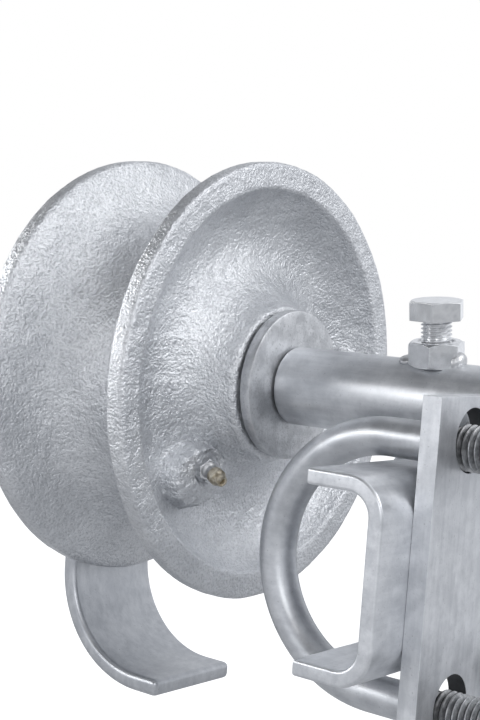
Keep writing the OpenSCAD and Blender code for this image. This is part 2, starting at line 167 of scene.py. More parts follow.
def break_edges(piece, width, segments=3, angle=30):
    apply_modifier(piece, "BEVEL", width=width, segments=segments, limit_method="ANGLE",
                   angle_limit=math.radians(angle), use_clamp_overlap=True)


def smooth(piece, angle=35):
    clear_bench()
    piece.select_set(True)
    bpy.context.view_layer.objects.active = piece
    bpy.ops.object.shade_smooth_by_angle(angle=math.radians(angle))


def even_shading(piece):
    """Lets the wide flat faces set the shading, so that the rounded edges catch the light cleanly."""
    apply_modifier(piece, "WEIGHTED_NORMAL", weight=100, keep_sharp=True)


def cut(piece, tool, operation="DIFFERENCE"):
    apply_modifier(piece, "BOOLEAN", object=tool, operation=operation, solver="EXACT")
    bpy.data.objects.remove(tool)


def join(name, *parts):
    clear_bench()
    for part in parts:
        part.select_set(True)
    bpy.context.view_layer.objects.active = parts[0]
    bpy.ops.object.join()
    return named(name)


def move(piece, matrix):
    clear_bench()
    piece.select_set(True)
    bpy.context.view_layer.objects.active = piece
    piece.matrix_world = matrix @ piece.matrix_world
    settle()
    return piece


def line(start, end, count):
    return [tuple(Vector(start).lerp(Vector(end), i / count)) for i in range(1, count + 1)]


def arc(centre, radius, start, end, count):
    turns = [start + (end - start) * i / count for i in range(count + 1)]
    return [(centre[0] + radius * math.cos(t), centre[1] + radius * math.sin(t)) for t in turns]


def turned(name, outline, segments=128, closed=True, sweep=TURN):
    """Turns an outline of (radius, distance along the axle) round the axle line."""
    clear_bench()
    first = Vector((outline[0][0], outline[0][1], 0))
    bpy.ops.mesh.primitive_plane_add(size=MM, location=first)
    piece = named(name)
    settle()
    open_mesh()
    bpy.ops.mesh.select_mode(type="VERT")
    bpy.ops.mesh.select_all(action="SELECT")
    bpy.ops.mesh.merge(type="CENTER")
    here = first
    for radius, along in outline[1:] + ([outline[0]] if closed else []):
        step = Vector((radius, along, 0)) - here
        bpy.ops.mesh.extrude_region_move(TRANSFORM_OT_translate={"value": step})
        here = here + step
    bpy.ops.mesh.select_all(action="SELECT")
    bpy.ops.mesh.spin(steps=segments, angle=sweep, center=(0, 0, 0), axis=(0, 1, 0))
    if sweep < TURN:
        bpy.ops.mesh.select_all(action="SELECT")
        bpy.ops.mesh.remove_doubles(threshold=1e-7)
        bpy.ops.mesh.select_all(action="DESELECT")
        bpy.ops.mesh.select_non_manifold(extend=False, use_wire=False, use_boundary=True,
                                         use_multi_face=False, use_non_contiguous=False,
                                         use_verts=False)
        bpy.ops.mesh.fill_holes(sides=0)
    tidy_faces()
    close_mesh()
    return piece


def ring(name, outer, inner, start, end, edge, segments=128, sweep=TURN):
    """A turned ring with its corners broken, split where its sweep is less than a whole turn."""
    corner = [
        (inner, start + edge), (inner + edge, start), (outer - edge, start), (outer, start + edge),
        (outer, end - edge), (outer - edge, end), (inner + edge, end), (inner, end - edge),
    ]
    piece = turned(name, corner, segments, sweep=sweep)
    smooth(piece, 30)
    return piece


def cylinder(name, radius, depth, place, vertices=96):
    """A cylinder along the Y axis."""
    clear_bench()
    bpy.ops.mesh.primitive_cylinder_add(vertices=vertices, radius=radius, depth=depth,
                                        location=place, rotation=(TURN / 4, 0, 0))
    piece = named(name)
    settle()
    return piece


def drawn(name, section, start, heading, steps):
    """Draws a flat or round section along the Y-Z plane. Each step is a length, or a bend given as
    (angle, inner radius); a positive angle turns from +Y towards +Z."""
    width, thick = section
    clear_bench()
    place = Vector((start[0], start[1], start[2]))
    if width == thick:
        bpy.ops.mesh.primitive_circle_add(vertices=40, radius=thick / 2, fill_type="NGON",
                                          location=place, rotation=(heading - TURN / 4, 0, 0))
    else:
        bpy.ops.mesh.primitive_plane_add(size=1, location=place,
                                         rotation=(heading - TURN / 4, 0, 0))
        bpy.context.object.scale = (width, thick, 1)
    piece = named(name)
    settle()
    open_mesh()
    bpy.ops.mesh.select_mode(type="FACE")
    bpy.ops.mesh.select_all(action="SELECT")
    for step in steps:
        ahead = Vector((0, math.cos(heading), math.sin(heading)))
        if isinstance(step, tuple):
            angle, inner = step
            side = 1 if angle > 0 else -1
            across = Vector((0, -math.sin(heading), math.cos(heading))) * side
            centre = place + across * (inner + thick / 2)
            bpy.ops.mesh.spin(steps=max(4, round(abs(angle) / math.radians(3))), angle=-angle,
                              center=centre, axis=(1, 0, 0))
            place = centre + Matrix.Rotation(angle, 3, "X") @ (place - centre)
            heading += angle
        else:
            bpy.ops.mesh.extrude_region_move(TRANSFORM_OT_translate={"value": ahead * step})
            place = place + ahead * step
    tidy_faces()
    close_mesh()
    return piece


def thread(name, radius, root, pitch, start, end, segments=36):
    """A raised thread round the Y axis, from start to end, with its first turn faded in."""
    clear_bench()
    turns = max(1, int(abs(end - start) / pitch))
    height = radius - root + 0.5 * MM
    bpy.ops.mesh.primitive_plane_add(size=1, location=(radius - height / 2, start, 0))
    piece = named(name)
    piece.scale = (height, pitch * 0.96, 1)
    settle()
    open_mesh()
    bpy.ops.mesh.select_mode(type="VERT")
    bpy.ops.mesh.select_all(action="DESELECT")
    close_mesh()
    for vertex in piece.data.vertices:
        vertex.select = vertex.co.x > radius - height / 2
    open_mesh()
    bpy.ops.transform.resize(value=(1, 0.2, 1), center_override=(radius, start, 0))
    bpy.ops.mesh.select_all(action="SELECT")
    bpy.ops.mesh.delete(type="ONLY_FACE")
    close_mesh()
    apply_modifier(piece, "SCREW", axis="Y", angle=TURN, screw_offset=pitch, iterations=turns,
                   steps=segments, render_steps=segments, use_normal_calculate=True)
    for vertex in piece.data.vertices:
        along = vertex.co.y - start
        share = min(1.0, max(0.0, along / (1.2 * pitch)))
        rest = Vector((vertex.co.x, 0, vertex.co.z))
        if rest.length > root:
            shrunk = root - 0.1 * MM + (rest.length - root + 0.1 * MM) * share
            rest *= shrunk / rest.length
            vertex.co.x, vertex.co.z = rest.x, rest.z
    open_mesh()
    bpy.ops.mesh.select_all(action="SELECT")
    bpy.ops.mesh.fill_holes(sides=0)
    tidy_faces()
    close_mesh()
    return piece


def hexagon(name, flats, start, end, bore=0.0, edge=0.25 * MM, low_turn=30, high_turn=30):
    """A hexagon along the Y axis with corners turned down at an angle at each end and, if it has
    one, a countersunk bore."""
    clear_bench()
    corner = flats / math.sqrt(3)
    height = end - start
    bpy.ops.mesh.primitive_cylinder_add(vertices=6, radius=corner, depth=height,
                                        location=(0, (start + end) / 2, 0),
                                        rotation=(TURN / 4, 0, 0))
    piece = named(name)
    settle()
    reach = corner + MM * 0.1 - flats / 2 * 0.97
    low_drop, high_drop = (reach * math.tan(math.radians(a)) for a in (low_turn, high_turn))
    barrel = turned("barrel", [
        (0, start), (flats / 2 * 0.97, start), (corner + MM * 0.1, start + low_drop),
        (corner + MM * 0.1, end - high_drop), (flats / 2 * 0.97, end), (0, end)], 96, closed=False)
    cut(piece, barrel, "INTERSECT")
    if bore:
        sink = 0.7 * MM
        plug = turned("plug", [
            (0, start - MM), (bore + sink + MM, start - MM), (bore, start + sink),
            (bore, end - sink), (bore + sink + MM, end + MM), (0, end + MM)], 96, closed=False)
        cut(piece, plug)
    break_edges(piece, edge, 2, 12)
    smooth(piece, 40)
    even_shading(piece)
    return piece


def along_bolt():
    """From the Y axis to the set bolt's axis."""
    return (Matrix.Translation((0, set_bolt_y, 0)) @ Matrix.Rotation(-lean, 4, "Y")
            @ Matrix.Rotation(TURN / 4, 4, "X"))


def at_nipple():
    """From the Y axis to the grease nipple's axis."""
    return (Matrix.Rotation(-nipple_angle, 4, "Y")
            @ Matrix.Translation((nipple_reach, -nipple_seat, 0))
            @ Matrix.Rotation(nipple_tilt, 4, "Z") @ Matrix.Rotation(TURN / 2, 4, "X")
            @ Matrix.Rotation(TURN / 12, 4, "Y"))


# ---------------------------------------------------------------- finishes

class Reading:
    """A number or colour that changes over a finish, with the sums that finishes are written in."""

    def __init__(self, finish, socket):
        self.finish, self.socket = finish, socket

    def sum(self, operation, first, second):
        return self.finish.node("ShaderNodeMath", {"operation": operation}, {0: first, 1: second})

    def __add__(self, other):
        return self.sum("ADD", self, other)

    def __sub__(self, other):
        return self.sum("SUBTRACT", self, other)

    def __rsub__(self, other):
        return self.sum("SUBTRACT", other, self)

    def __mul__(self, other):
        return self.sum("MULTIPLY", self, other)

    __radd__ = __add__
    __rmul__ = __mul__

    def between(self, low, high):
        """0 below low, 1 above high, smooth in between."""
        return self.finish.node("ShaderNodeMapRange", {"interpolation_type": "SMOOTHSTEP"},
                                {"Value": self, "From Min": low, "From Max": high})


class Finish:
    """One surface finish, built as a material."""

    def __init__(self, name):
        self.material = bpy.data.materials.new(name)
        self.material.use_nodes = True
        self.tree = self.material.node_tree
        self.shader = self.tree.nodes["Principled BSDF"]
        self.place = self.node("ShaderNodeTexCoord", {}, {}, "Object")

    def node(self, kind, settings, inputs, output=0):
        made = self.tree.nodes.new(kind)
        for key, value in settings.items():
            setattr(made, key, value)
        for key, value in inputs.items():
            if isinstance(value, Reading):
                self.tree.links.new(value.socket, made.inputs[key])
            else:
                made.inputs[key].default_value = value
        return Reading(self, made.outputs[output])

    def stretched(self, scale):
        """The place on the piece, squeezed along the axes, so that a pattern stretches."""
        return self.node("ShaderNodeMapping", {"vector_type": "POINT"},
                         {"Vector": self.place, "Scale": scale})

    def noise(self, size, detail=3.0, rough=0.5, place=None):
        return self.node("ShaderNodeTexNoise", {}, {
            "Vector": place or self.place, "Scale": 1 / size, "Detail": detail,
            "Roughness": rough})

    def cells(self, size, feature="F1"):
        return self.node("ShaderNodeTexVoronoi", {"feature": feature},
                         {"Vector": self.place, "Scale": 1 / size})

    def blend(self, share, first, second):
        """Mixes two colours."""
        return self.node("ShaderNodeMix", {"data_type": "RGBA"},
                         {0: share, 6: first, 7: second}, 2)

    def relief(self, height, depth, strength=1.0):
        return self.node("ShaderNodeBump", {},
                         {"Height": height, "Strength": strength, "Distance": depth})

    def set(self, **values):
        for key, value in values.items():
            socket = self.shader.inputs[key.replace("_", " ")]
            if isinstance(value, Reading):
                self.tree.links.new(value.socket, socket)
            else:
                socket.default_value = value
        return self.material


def grey(level, blue=0.0):
    return (level - blue * 0.6, level, level + blue, 1)


def cast_galvanise():
    """Zinc over a sand casting: fine hard grain, soft swells, and bright tips on the grain."""
    f = Finish("cast_galvanise")
    grain = f.noise(0.85 * MM, 3, 0.6)
    pit = f.cells(1.2 * MM, "SMOOTH_F1")
    swell = f.noise(5 * MM, 3, 0.5)
    patch = f.noise(20 * MM, 4, 0.6)
    height = grain * 1.0 + pit * 0.35 + swell * 1.6
    low = (1 - grain.between(0.33, 0.55)) * 0.5
    tone = f.blend(patch.between(0.35, 0.68), grey(0.70, 0.024), grey(0.82, 0.022))
    return f.set(Base_Color=f.blend(low, tone, grey(0.44, 0.02)), Metallic=0.9,
                 Roughness=0.26 + patch * 0.10 + low * 0.12,
                 Normal=f.relief(height, 0.60 * MM, 0.95))


def bar_galvanise(name, level, streak, relief_depth=0.12 * MM, rough=0.34):
    """Zinc over rolled or drawn steel: streaks along the metal, a mottle, runs and small dark pits."""
    f = Finish(name)
    run = f.noise(2.4 * MM, 3, 0.55, place=f.stretched(streak))
    mottle = f.noise(7 * MM, 5, 0.65)
    speck = f.noise(0.8 * MM, 3, 0.6)
    stain = f.noise(26 * MM, 3, 0.6)
    share = run.between(0.3, 0.72) * 0.4 + mottle.between(0.35, 0.66) * 0.5
    tone = f.blend(share, grey(level * 0.84, 0.026), grey(level * 1.16, 0.022))
    dull = f.blend(stain.between(0.50, 0.72) * 0.4, tone, grey(level * 0.80, 0.026))
    pits = (1 - speck.between(0.28, 0.36)) * 0.45
    return f.set(Base_Color=f.blend(pits, dull, grey(level * 0.5, 0.01)), Metallic=0.86,
                 Roughness=rough - 0.09 + mottle * 0.2 + stain * 0.06,
                 Normal=f.relief(mottle * 1.0 + speck * 0.35 + run * 0.4, relief_depth, 0.75))


def machined_galvanise():
    """A turned face under thin zinc, grainy, stained and handled."""
    f = Finish("machined_galvanise")
    cloud = f.noise(7 * MM, 5, 0.65)
    fleck = f.noise(0.9 * MM, 4, 0.65)
    tone = f.blend(cloud.between(0.35, 0.65), grey(0.50, 0.018), grey(0.72, 0.018))
    spot = (1 - fleck.between(0.30, 0.46)) * 0.5
    return f.set(Base_Color=f.blend(spot, tone, grey(0.30, 0.01)), Metallic=0.86,
                 Roughness=0.30 + cloud * 0.18,
                 Normal=f.relief(fleck * 0.9 + cloud * 0.8, 0.22 * MM, 0.8))


def bright_zinc():
    """Electroplated zinc on the set bolt and its nut."""
    f = Finish("bright_zinc")
    cloud = f.noise(4 * MM, 4, 0.6)
    speck = f.noise(0.8 * MM, 2, 0.5)
    tone = f.blend(cloud.between(0.3, 0.7), grey(0.72, 0.012), grey(0.88, 0.01))
    return f.set(Base_Color=tone, Metallic=0.94, Roughness=0.16 + cloud * 0.12,
                 Normal=f.relief(speck * 0.4 + cloud, 0.12 * MM, 0.6))


def painted_shade_zinc():
    """Painted shade: dull, nearly black zinc for the hole walls and the roots of threads, standing in
    for the shade inside them.
    """
    f = Finish("painted_shade_zinc")
    cloud = f.noise(3 * MM, 4, 0.6)
    tone = f.blend(cloud, grey(0.05, 0.004), grey(0.13, 0.006))
    return f.set(Base_Color=tone, Metallic=0.5, Roughness=0.5 + cloud * 0.2,
                 Normal=f.relief(cloud, 0.2 * MM, 0.7))


def thread_zinc():
    """Zinc on the ridges of cut threads, uneven and a little worn."""
    f = Finish("thread_zinc")
    cloud = f.noise(2 * MM, 4, 0.6)
    tone = f.blend(cloud.between(0.35, 0.7), grey(0.36, 0.01), grey(0.66, 0.008))
    return f.set(Base_Color=tone, Metallic=0.88, Roughness=0.34 + cloud * 0.18,
                 Normal=f.relief(cloud, 0.12 * MM, 0.6))


def weld_metal():
    """Weld beads under zinc."""
    f = Finish("weld_metal")
    lump = f.noise(2.2 * MM, 4, 0.6)
    tone = f.blend(lump.between(0.3, 0.7), grey(0.48, 0.01), grey(0.70, 0.01))
    return f.set(Base_Color=tone, Metallic=0.88, Roughness=0.28 + lump * 0.16,
                 Normal=f.relief(lump, 0.4 * MM, 0.7))


def nipple_brass():
    f = Finish("nipple_brass")
    cloud = f.noise(1.5 * MM, 4, 0.6)
    tone = f.blend(cloud.between(0.35, 0.7), (0.36, 0.31, 0.23, 1), (0.72, 0.67, 0.56, 1))
    return f.set(Base_Color=tone, Metallic=0.95, Roughness=0.22 + cloud * 0.18,
                 Normal=f.relief(cloud, 0.05 * MM, 0.5))


def bearing_steel():
    f = Finish("bearing_steel")
    lay = f.noise(1.2 * MM, 3, 0.6, place=f.stretched((1, 8, 1)))
    tone = f.blend(lay, grey(0.46), grey(0.60))
    return f.set(Base_Color=tone, Metallic=1.0, Roughness=0.2 + lay * 0.15,
                 Normal=f.relief(lay, 0.02 * MM, 0.4))


def cage_brass():
    f = Finish("cage_brass")
    cloud = f.noise(4 * MM, 4, 0.6)
    tone = f.blend(cloud, (0.50, 0.35, 0.14, 1), (0.66, 0.50, 0.24, 1))
    return f.set(Base_Color=tone, Metallic=1.0, Roughness=0.3 + cloud * 0.15,
                 Normal=f.relief(cloud, 0.04 * MM, 0.4))


def seal_rubber():
    f = Finish("seal_rubber")
    cloud = f.noise(3 * MM, 4, 0.6)
    tone = f.blend(cloud, (0.012, 0.012, 0.013, 1), (0.035, 0.035, 0.037, 1))
    return f.set(Base_Color=tone, Metallic=0.0, Roughness=0.55 + cloud * 0.2,
                 Normal=f.relief(cloud, 0.05 * MM, 0.5))


def pale_floor():
    """A white sweep that is bright by itself, so that it stays even."""
    f = Finish("pale_floor")
    cloud = f.noise(0.4, 2, 0.5)
    tone = f.blend(cloud, (0.62, 0.62, 0.62, 1), (0.64, 0.64, 0.64, 1))
    return f.set(Base_Color=tone, Metallic=0.0, Roughness=0.9, Emission_Color=(1, 1, 1, 1),
                 Emission_Strength=0.8)


cast = cast_galvanise()
plate_zinc = bar_galvanise("plate_galvanise", 0.78, (1.0, 1.0, 0.14))
bar_zinc = bar_galvanise("bar_galvanise", 0.78, (0.25, 1.0, 1.0))
guard_zinc = bar_galvanise("guard_galvanise", 0.56, (1.0, 1.0, 0.3), 0.14 * MM, 0.33)
pipe_zinc = bar_galvanise("pipe_galvanise", 0.72, (1.0, 0.12, 1.0), 0.08 * MM, 0.34)
rod_zinc = bar_galvanise("rod_galvanise", 0.62, (1.0, 0.2, 1.0), 0.08 * MM, 0.34)
machined = machined_galvanise()
bright = bright_zinc()
threaded = thread_zinc()
painted_shade = painted_shade_zinc()
weld = weld_metal()
brass = nipple_brass()
steel = bearing_steel()
cage = cage_brass()
rubber = seal_rubber()


def finish(piece, body, slot, material, *nodes):
    """Gives the piece its material and its body, and hides the nodes it stands for. The slot argument
    is not used.
    """
    if material is not None:
        piece.data.materials.clear()
        piece.data.materials.append(material)
    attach(piece, body)
    if nodes:
        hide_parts(*nodes)
    return piece


# ---------------------------------------------------------------- wheel

def cast_texture(name, size, depth):
    texture = bpy.data.textures.new(name, "CLOUDS")
    texture.noise_scale = size
    texture.noise_depth = depth
    return texture


def wheel_outline():
    """Half of the wheel's outline, from the middle of the groove round to the middle of the bore."""
    edge_in = rim_radius - groove_centre
    reach = math.hypot(edge_in, rim_edge)
    touch = math.atan2(rim_edge, edge_in) + math.acos(groove_curve / reach)
    groove = arc((groove_centre, 0), groove_curve, math.pi, touch, 34)
    soft = 1.0 * MM
    rim = line(groove[-1], (rim_radius - soft * 0.8, rim_edge - soft * 0.6), 5)
    rim += line(rim[-1], (rim_radius, rim_edge + soft * 0.5), 2)
    rim += line(rim[-1], (rim_radius, half_width - soft * 1.1), 5)
    rim += line(rim[-1], (rim_radius - soft * 0.35, half_width - soft * 0.35), 1)
    rim += line(rim[-1], (rim_radius - soft * 1.1, half_width), 1)
    ring_face = line(rim[-1], (face_ring_inner + soft * 0.6, half_width), 7)
    run, rise = face_ring_inner - hub_radius, half_width - hub_end
    chord = math.hypot(run, rise)
    dish_radius = ((chord / 2) ** 2 + dish_sag ** 2) / (2 * dish_sag)
    lift = (dish_radius - dish_sag) / chord
    centre = (hub_radius + run / 2 - rise * lift, hub_end + rise / 2 + run * lift)
    outer_turn = math.atan2(half_width - centre[1], face_ring_inner - centre[0])
    inner_turn = math.atan2(hub_end - 1.2 * soft - centre[1], hub_radius - centre[0])
    dish = arc(centre, dish_radius, outer_turn - 0.03, inner_turn, 54)
    hub = [(hub_radius, hub_end - soft * 1.2)]
    hub += line(hub[-1], (hub_radius - soft * 0.4, hub_end - soft * 0.4), 1)
    hub += line(hub[-1], (hub_radius - soft * 1.2, hub_end), 1)
    bore = line(hub[-1], (hub_bore + 0.6 * MM, hub_end), 5)
    bore += line(bore[-1], (hub_bore, hub_end - 0.6 * MM), 1)
    bore += line(bore[-1], (hub_bore, 0), 10)
    return groove + rim + ring_face + dish[:-1] + hub + bore


def weigh(piece, name, weight):
    """A vertex group whose weight is worked out from each vertex's place."""
    group = piece.vertex_groups.new(name=name)
    for vertex in piece.data.vertices:
        amount = weight(vertex.co)
        if amount > 0.001:
            group.add([vertex.index], min(1.0, amount), "REPLACE")
    return group.name


def make_wheel():
    half = wheel_outline()
    outline = half + [(r, -y) for r, y in reversed(half[1:-1])]
    wheel = turned("cast_wheel", outline, 360)
    boss_middle = Vector((math.cos(boss_angle), math.sin(boss_angle))) * boss_reach
    seat_middle = Vector((math.cos(nipple_angle), math.sin(nipple_angle))) * nipple_reach
    boss_lift = 14 * MM

    def boss_height(co):
        """How far a point of the dish is raised to the boss's slightly crowned, sloping face."""
        if co.y > -5 * MM:
            return 0
        outward = Vector((co.x, co.z))
        off = (outward - boss_middle).length
        share = 1 - min(1, max(0, (off - boss_flat) / boss_fall))
        share = share * share * (3 - 2 * share)
        crown = -31.4 * MM + (outward.length - 40 * MM) * 0.30 + off * off / (80 * MM)
        return share * max(0.0, co.y - crown) / boss_lift

    def seat_depth(co):
        if co.y > -15 * MM:
            return 0
        off = (Vector((co.x, co.z)) - seat_middle).length
        return 1 - min(1, max(0, (off - 5.1 * MM) / (0.9 * MM)))

    def lumpy_weight(co):
        outward = Vector((co.x, co.z))
        on_boss = co.y < -15 * MM and (outward - boss_middle).length < 11.4 * MM
        return 1.0 if on_boss and (outward - seat_middle).length > 6.5 * MM else 0

    def rough_weight(co):
        radius = math.hypot(co.x, co.z)
        return 1.0 if radius > hub_bore + 1.5 * MM else 0

    raised = weigh(wheel, "boss", boss_height)
    apply_modifier(wheel, "DISPLACE", direction="Y", strength=-boss_lift, mid_level=0,
                   vertex_group=raised)
    sunk = weigh(wheel, "seat", seat_depth)
    apply_modifier(wheel, "DISPLACE", direction="Y", strength=2.3 * MM, mid_level=0,
                   vertex_group=sunk)
    lumpy = weigh(wheel, "lumpy", lumpy_weight)
    apply_modifier(wheel, "DISPLACE", texture=cast_texture("lumps", 0.0022, 2), strength=1.9 * MM,
                   mid_level=0.5, vertex_group=lumpy, texture_coords="LOCAL")
    cast_skin = weigh(wheel, "skin", rough_weight)
    apply_modifier(wheel, "DISPLACE", texture=cast_texture("swell", 0.016, 2), strength=0.6 * MM,
                   mid_level=0.5, vertex_group=cast_skin, texture_coords="LOCAL")
    apply_modifier(wheel, "DISPLACE", texture=cast_texture("grit", 0.0026, 1), strength=0.15 * MM,
                   mid_level=0.5, vertex_group=cast_skin, texture_coords="LOCAL")
    wheel.vertex_groups.clear()
    smooth(wheel, 42)
    return finish(wheel, "wheel", "cast_zinc", cast, "wheel_casting")


def make_nipple():
    base = hexagon("nipple_base", 7 * MM, 0, 3 * MM, edge=0.2 * MM)
    base.data.materials.append(bright)
    neck = turned("nipple_neck", [
        (0, 2.5 * MM), (2.9 * MM, 2.5 * MM), (2.9 * MM, 3.4 * MM), (2.3 * MM, 4.0 * MM),
        (2.2 * MM, 5.2 * MM), (2.5 * MM, 5.8 * MM), (2.5 * MM, 6.4 * MM), (0, 6.4 * MM)], 48,
        closed=False)
    neck.data.materials.append(threaded)
    smooth(neck, 40)
    head = turned("nipple_head", [
        (0, 5.9 * MM), (2.5 * MM, 5.9 * MM), (2.8 * MM, 6.2 * MM), (2.9 * MM, 6.6 * MM),
        (2.9 * MM, 8.9 * MM), (2.7 * MM, 9.3 * MM), (2.2 * MM, 9.8 * MM), (2.0 * MM, 10.4 * MM),
        (2.0 * MM, 11.2 * MM), (1.8 * MM, 11.7 * MM), (1.2 * MM, 11.9 * MM),
        (0.8 * MM, 11.4 * MM), (0.7 * MM, 10.6 * MM), (0, 10.5 * MM)], 48, closed=False)
    head.data.materials.append(brass)
    smooth(head, 40)
    nipple = join("grease_nipple_fitting", base, neck, head)
    move(nipple, at_nipple())
    return finish(nipple, "wheel", "nipple_metal", None, "grease_nipple")


# ---------------------------------------------------------------- axle

def make_thrust_washers():
    for side, name in ((1, "near"), (-1, "far")):
        start, end = washer_low.y, washer_high.y
        edge = 0.6 * MM
        outline = [(axle_radius + 0.4 * MM, start)]
        outline += line(outline[-1], (washer_radius - edge, start), 8)
        outline += [(washer_radius - edge * 0.3, start + edge * 0.3), (washer_radius, start + edge)]
        outline += [(washer_radius, end - edge), (washer_radius - edge * 0.3, end - edge * 0.3)]
        outline += [(washer_radius - edge, end), (axle_radius + 0.4 * MM, end)]
        washer = turned(name + "_thrust_ring", outline, 160)
        apply_modifier(washer, "DISPLACE", texture=cast_texture(name + "_wave", 0.009, 1),
                       strength=0.14 * MM, mid_level=0.5, texture_coords="LOCAL")
        smooth(washer, 25)
        if side < 0:
            move(washer, Matrix.Rotation(math.pi, 4, "X"))
        finish(washer, "axle", "washer_zinc", machined, name + "_thrust_washer")


def make_axle():
    end, tail = axle_high.y, axle_low.y
    nut_low, nut_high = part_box("axle_end_nut")
    root = axle_radius - 1.3 * MM
    outline = [(0, tail), (axle_radius - 1.2 * MM, tail), (axle_radius, tail + 1.2 * MM)]
    outline += [(axle_radius, nut_low.y + 2 * MM), (root, nut_low.y + 3 * MM)]
    outline += [(root, end - 1 * MM), (root - 1 * MM, end), (0, end)]
    bar = turned("axle_core", outline, 64, closed=False)
    ridge = thread("axle_thread", axle_radius - running_gap, root, 2.5 * MM, nut_low.y + 2 * MM,
                   end - 3.4 * MM)
    bar.data.materials.append(rod_zinc)
    ridge.data.materials.append(threaded)
    shaft = join("axle_bar", bar, ridge)
    smooth(shaft, 40)
    finish(shaft, "axle", "axle_zinc", None, "axle_shaft")
    nut = hexagon("axle_lock_nut", nut_high.z - nut_low.z, nut_low.y, nut_high.y,
                  axle_radius + running_gap, 0.4 * MM)
    move(nut, Matrix.Rotation(TURN / 12, 4, "Y"))
    finish(nut, "axle", "hardware_zinc", plate_zinc, "axle_end_nut")


def make_end_washer():
    low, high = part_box("axle_end_washer")
    washer = ring("axle_lock_washer", high.x, axle_radius + 0.2 * MM, low.y, high.y, 0.4 * MM, 72,
                  split_sweep)
    finish(washer, "axle", "hardware_zinc", threaded, "axle_end_washer")


# ---------------------------------------------------------------- guard

def make_guard():
    hub = hub_radius + 1 * MM
    jog = math.radians(12)
    jog_radius = 16 * MM
    drop = guard_face - (half_width + guard_gap)
    jog_run = (drop - (2 * jog_radius + guard_thick) * (1 - math.cos(jog))) / math.sin(jog)
    jog_drop = (2 * jog_radius + guard_thick) * math.sin(jog) + jog_run * math.cos(jog)
    hook = 33 * MM
    low_run = -guard_low.z - guard_thick - hook - hub - jog_drop
    start = (0, guard_face + guard_thick / 2, 0)
    bar = drawn("guard_bar", (guard_width, guard_thick), start, -TURN / 4, [
        hub, (-jog, jog_radius), jog_run, (jog, jog_radius), low_run, (-TURN / 4, hook), guard_lip])
    head = cylinder("guard_head", guard_width / 2, guard_thick, start)
    open_mesh(head)
    bpy.ops.mesh.select_all(action="SELECT")
    bpy.ops.mesh.bisect(plane_co=(0, 0, 0), plane_no=(0, 0, 1), clear_inner=True)
    close_mesh()
    open_mesh(bar)
    bpy.ops.mesh.select_mode(type="FACE")
    bpy.ops.mesh.select_all(action="DESELECT")
    close_mesh()
    for face in bar.data.polygons:
        face.select = face.normal.z > 0.9 and abs(face.center.z) < 0.1 * MM
    open_mesh(bar)
    bpy.ops.mesh.delete(type="FACE")
    close_mesh()
    bar = join("guard_bar", bar, head)
    open_mesh(bar)
    bpy.ops.mesh.select_all(action="SELECT")
    tidy_faces()
    close_mesh()
    cut(bar, cylinder("guard_drill", axle_radius + running_gap, 4 * guard_thick, start))
    break_edges(bar, 1.9 * MM, 4, 35)
    smooth(bar, 40)
    even_shading(bar)
    return finish(bar, "guard", "bar_zinc", guard_zinc, "guard_hook")


# ---------------------------------------------------------------- bracket

def make_sleeve():
    start, end, edge = sleeve_low.y, sleeve_high.y, 0.5 * MM
    outline = [(sleeve_bore, start), (sleeve_radius, start)]
    outline += line(outline[-1], (sleeve_radius, end - edge * 1.4), 70)
    outline += [(sleeve_radius - edge * 0.4, end - edge * 0.4), (sleeve_radius - edge * 1.4, end)]
    outline += [(sleeve_bore + edge, end), (sleeve_bore, end - edge)]
    sleeve = turned("sleeve_pipe", outline, 120)
    apply_modifier(sleeve, "DISPLACE", texture=cast_texture("pipe_wave", 0.02, 1),
                   strength=0.12 * MM, mid_level=0.5, texture_coords="LOCAL")
    smooth(sleeve, 30)
    return finish(sleeve, "bracket", "pipe_zinc", pipe_zinc, "axle_sleeve")


def make_plate():
    drill_depth = 50 * MM
    notch_gap = 0.1 * MM
    clear_bench()
    middle = (plate_low + plate_high) / 2
    bpy.ops.mesh.primitive_cube_add(size=1, location=middle)
    plate = named("bracket_plate")
    plate.scale = plate_high - plate_low
    settle()
    upper = plate_high.z - hole_below_top
    for x in (left_bolt_x, right_bolt_x):
        for z in (upper, upper - leg_gap):
            cut(plate, cylinder("plate_drill", hole_radius, drill_depth, (x, middle.y, z), 72))
    cut(plate, cylinder("plate_notch", sleeve_radius + notch_gap, drill_depth, (0, middle.y, 0)))
    break_edges(plate, 1.1 * MM, 3, 35)
    smooth(plate, 40)
    even_shading(plate)
    plate.data.materials.append(plate_zinc)
    # The walls of the bolt holes take a second, nearly black finish: painted shade for the inside of
    # the holes.
    plate.data.materials.append(painted_shade)
    for face in plate.data.polygons:
        middle_z = abs(face.center.z - upper + leg_gap / 2)
        reach = math.hypot(abs(face.center.x) - right_bolt_x, middle_z - leg_gap / 2)
        if reach < hole_radius + 0.2 * MM and abs(face.normal.y) < 0.5:
            face.material_index = 1
    return finish(plate, "bracket", "plate_zinc", None, "mounting_plate")


def make_saddle():
    depth = saddle_high.y - saddle_low.y
    flat = depth - saddle_thick - saddle_bend
    web = saddle_high.z - saddle_low.z - 2 * (saddle_thick + saddle_bend)
    width = saddle_high.x - saddle_low.x
    start = (0, saddle_high.y, saddle_high.z - saddle_thick / 2)
    bar = drawn("saddle_bar", (width, saddle_thick), start, math.pi,
                   [flat, (TURN / 4, saddle_bend), web, (TURN / 4, saddle_bend), flat])
    break_edges(bar, 1.0 * MM, 3, 35)
    smooth(bar, 40)
    even_shading(bar)
    return finish(bar, "bracket", "bar_zinc", bar_zinc, "clamp_saddle")


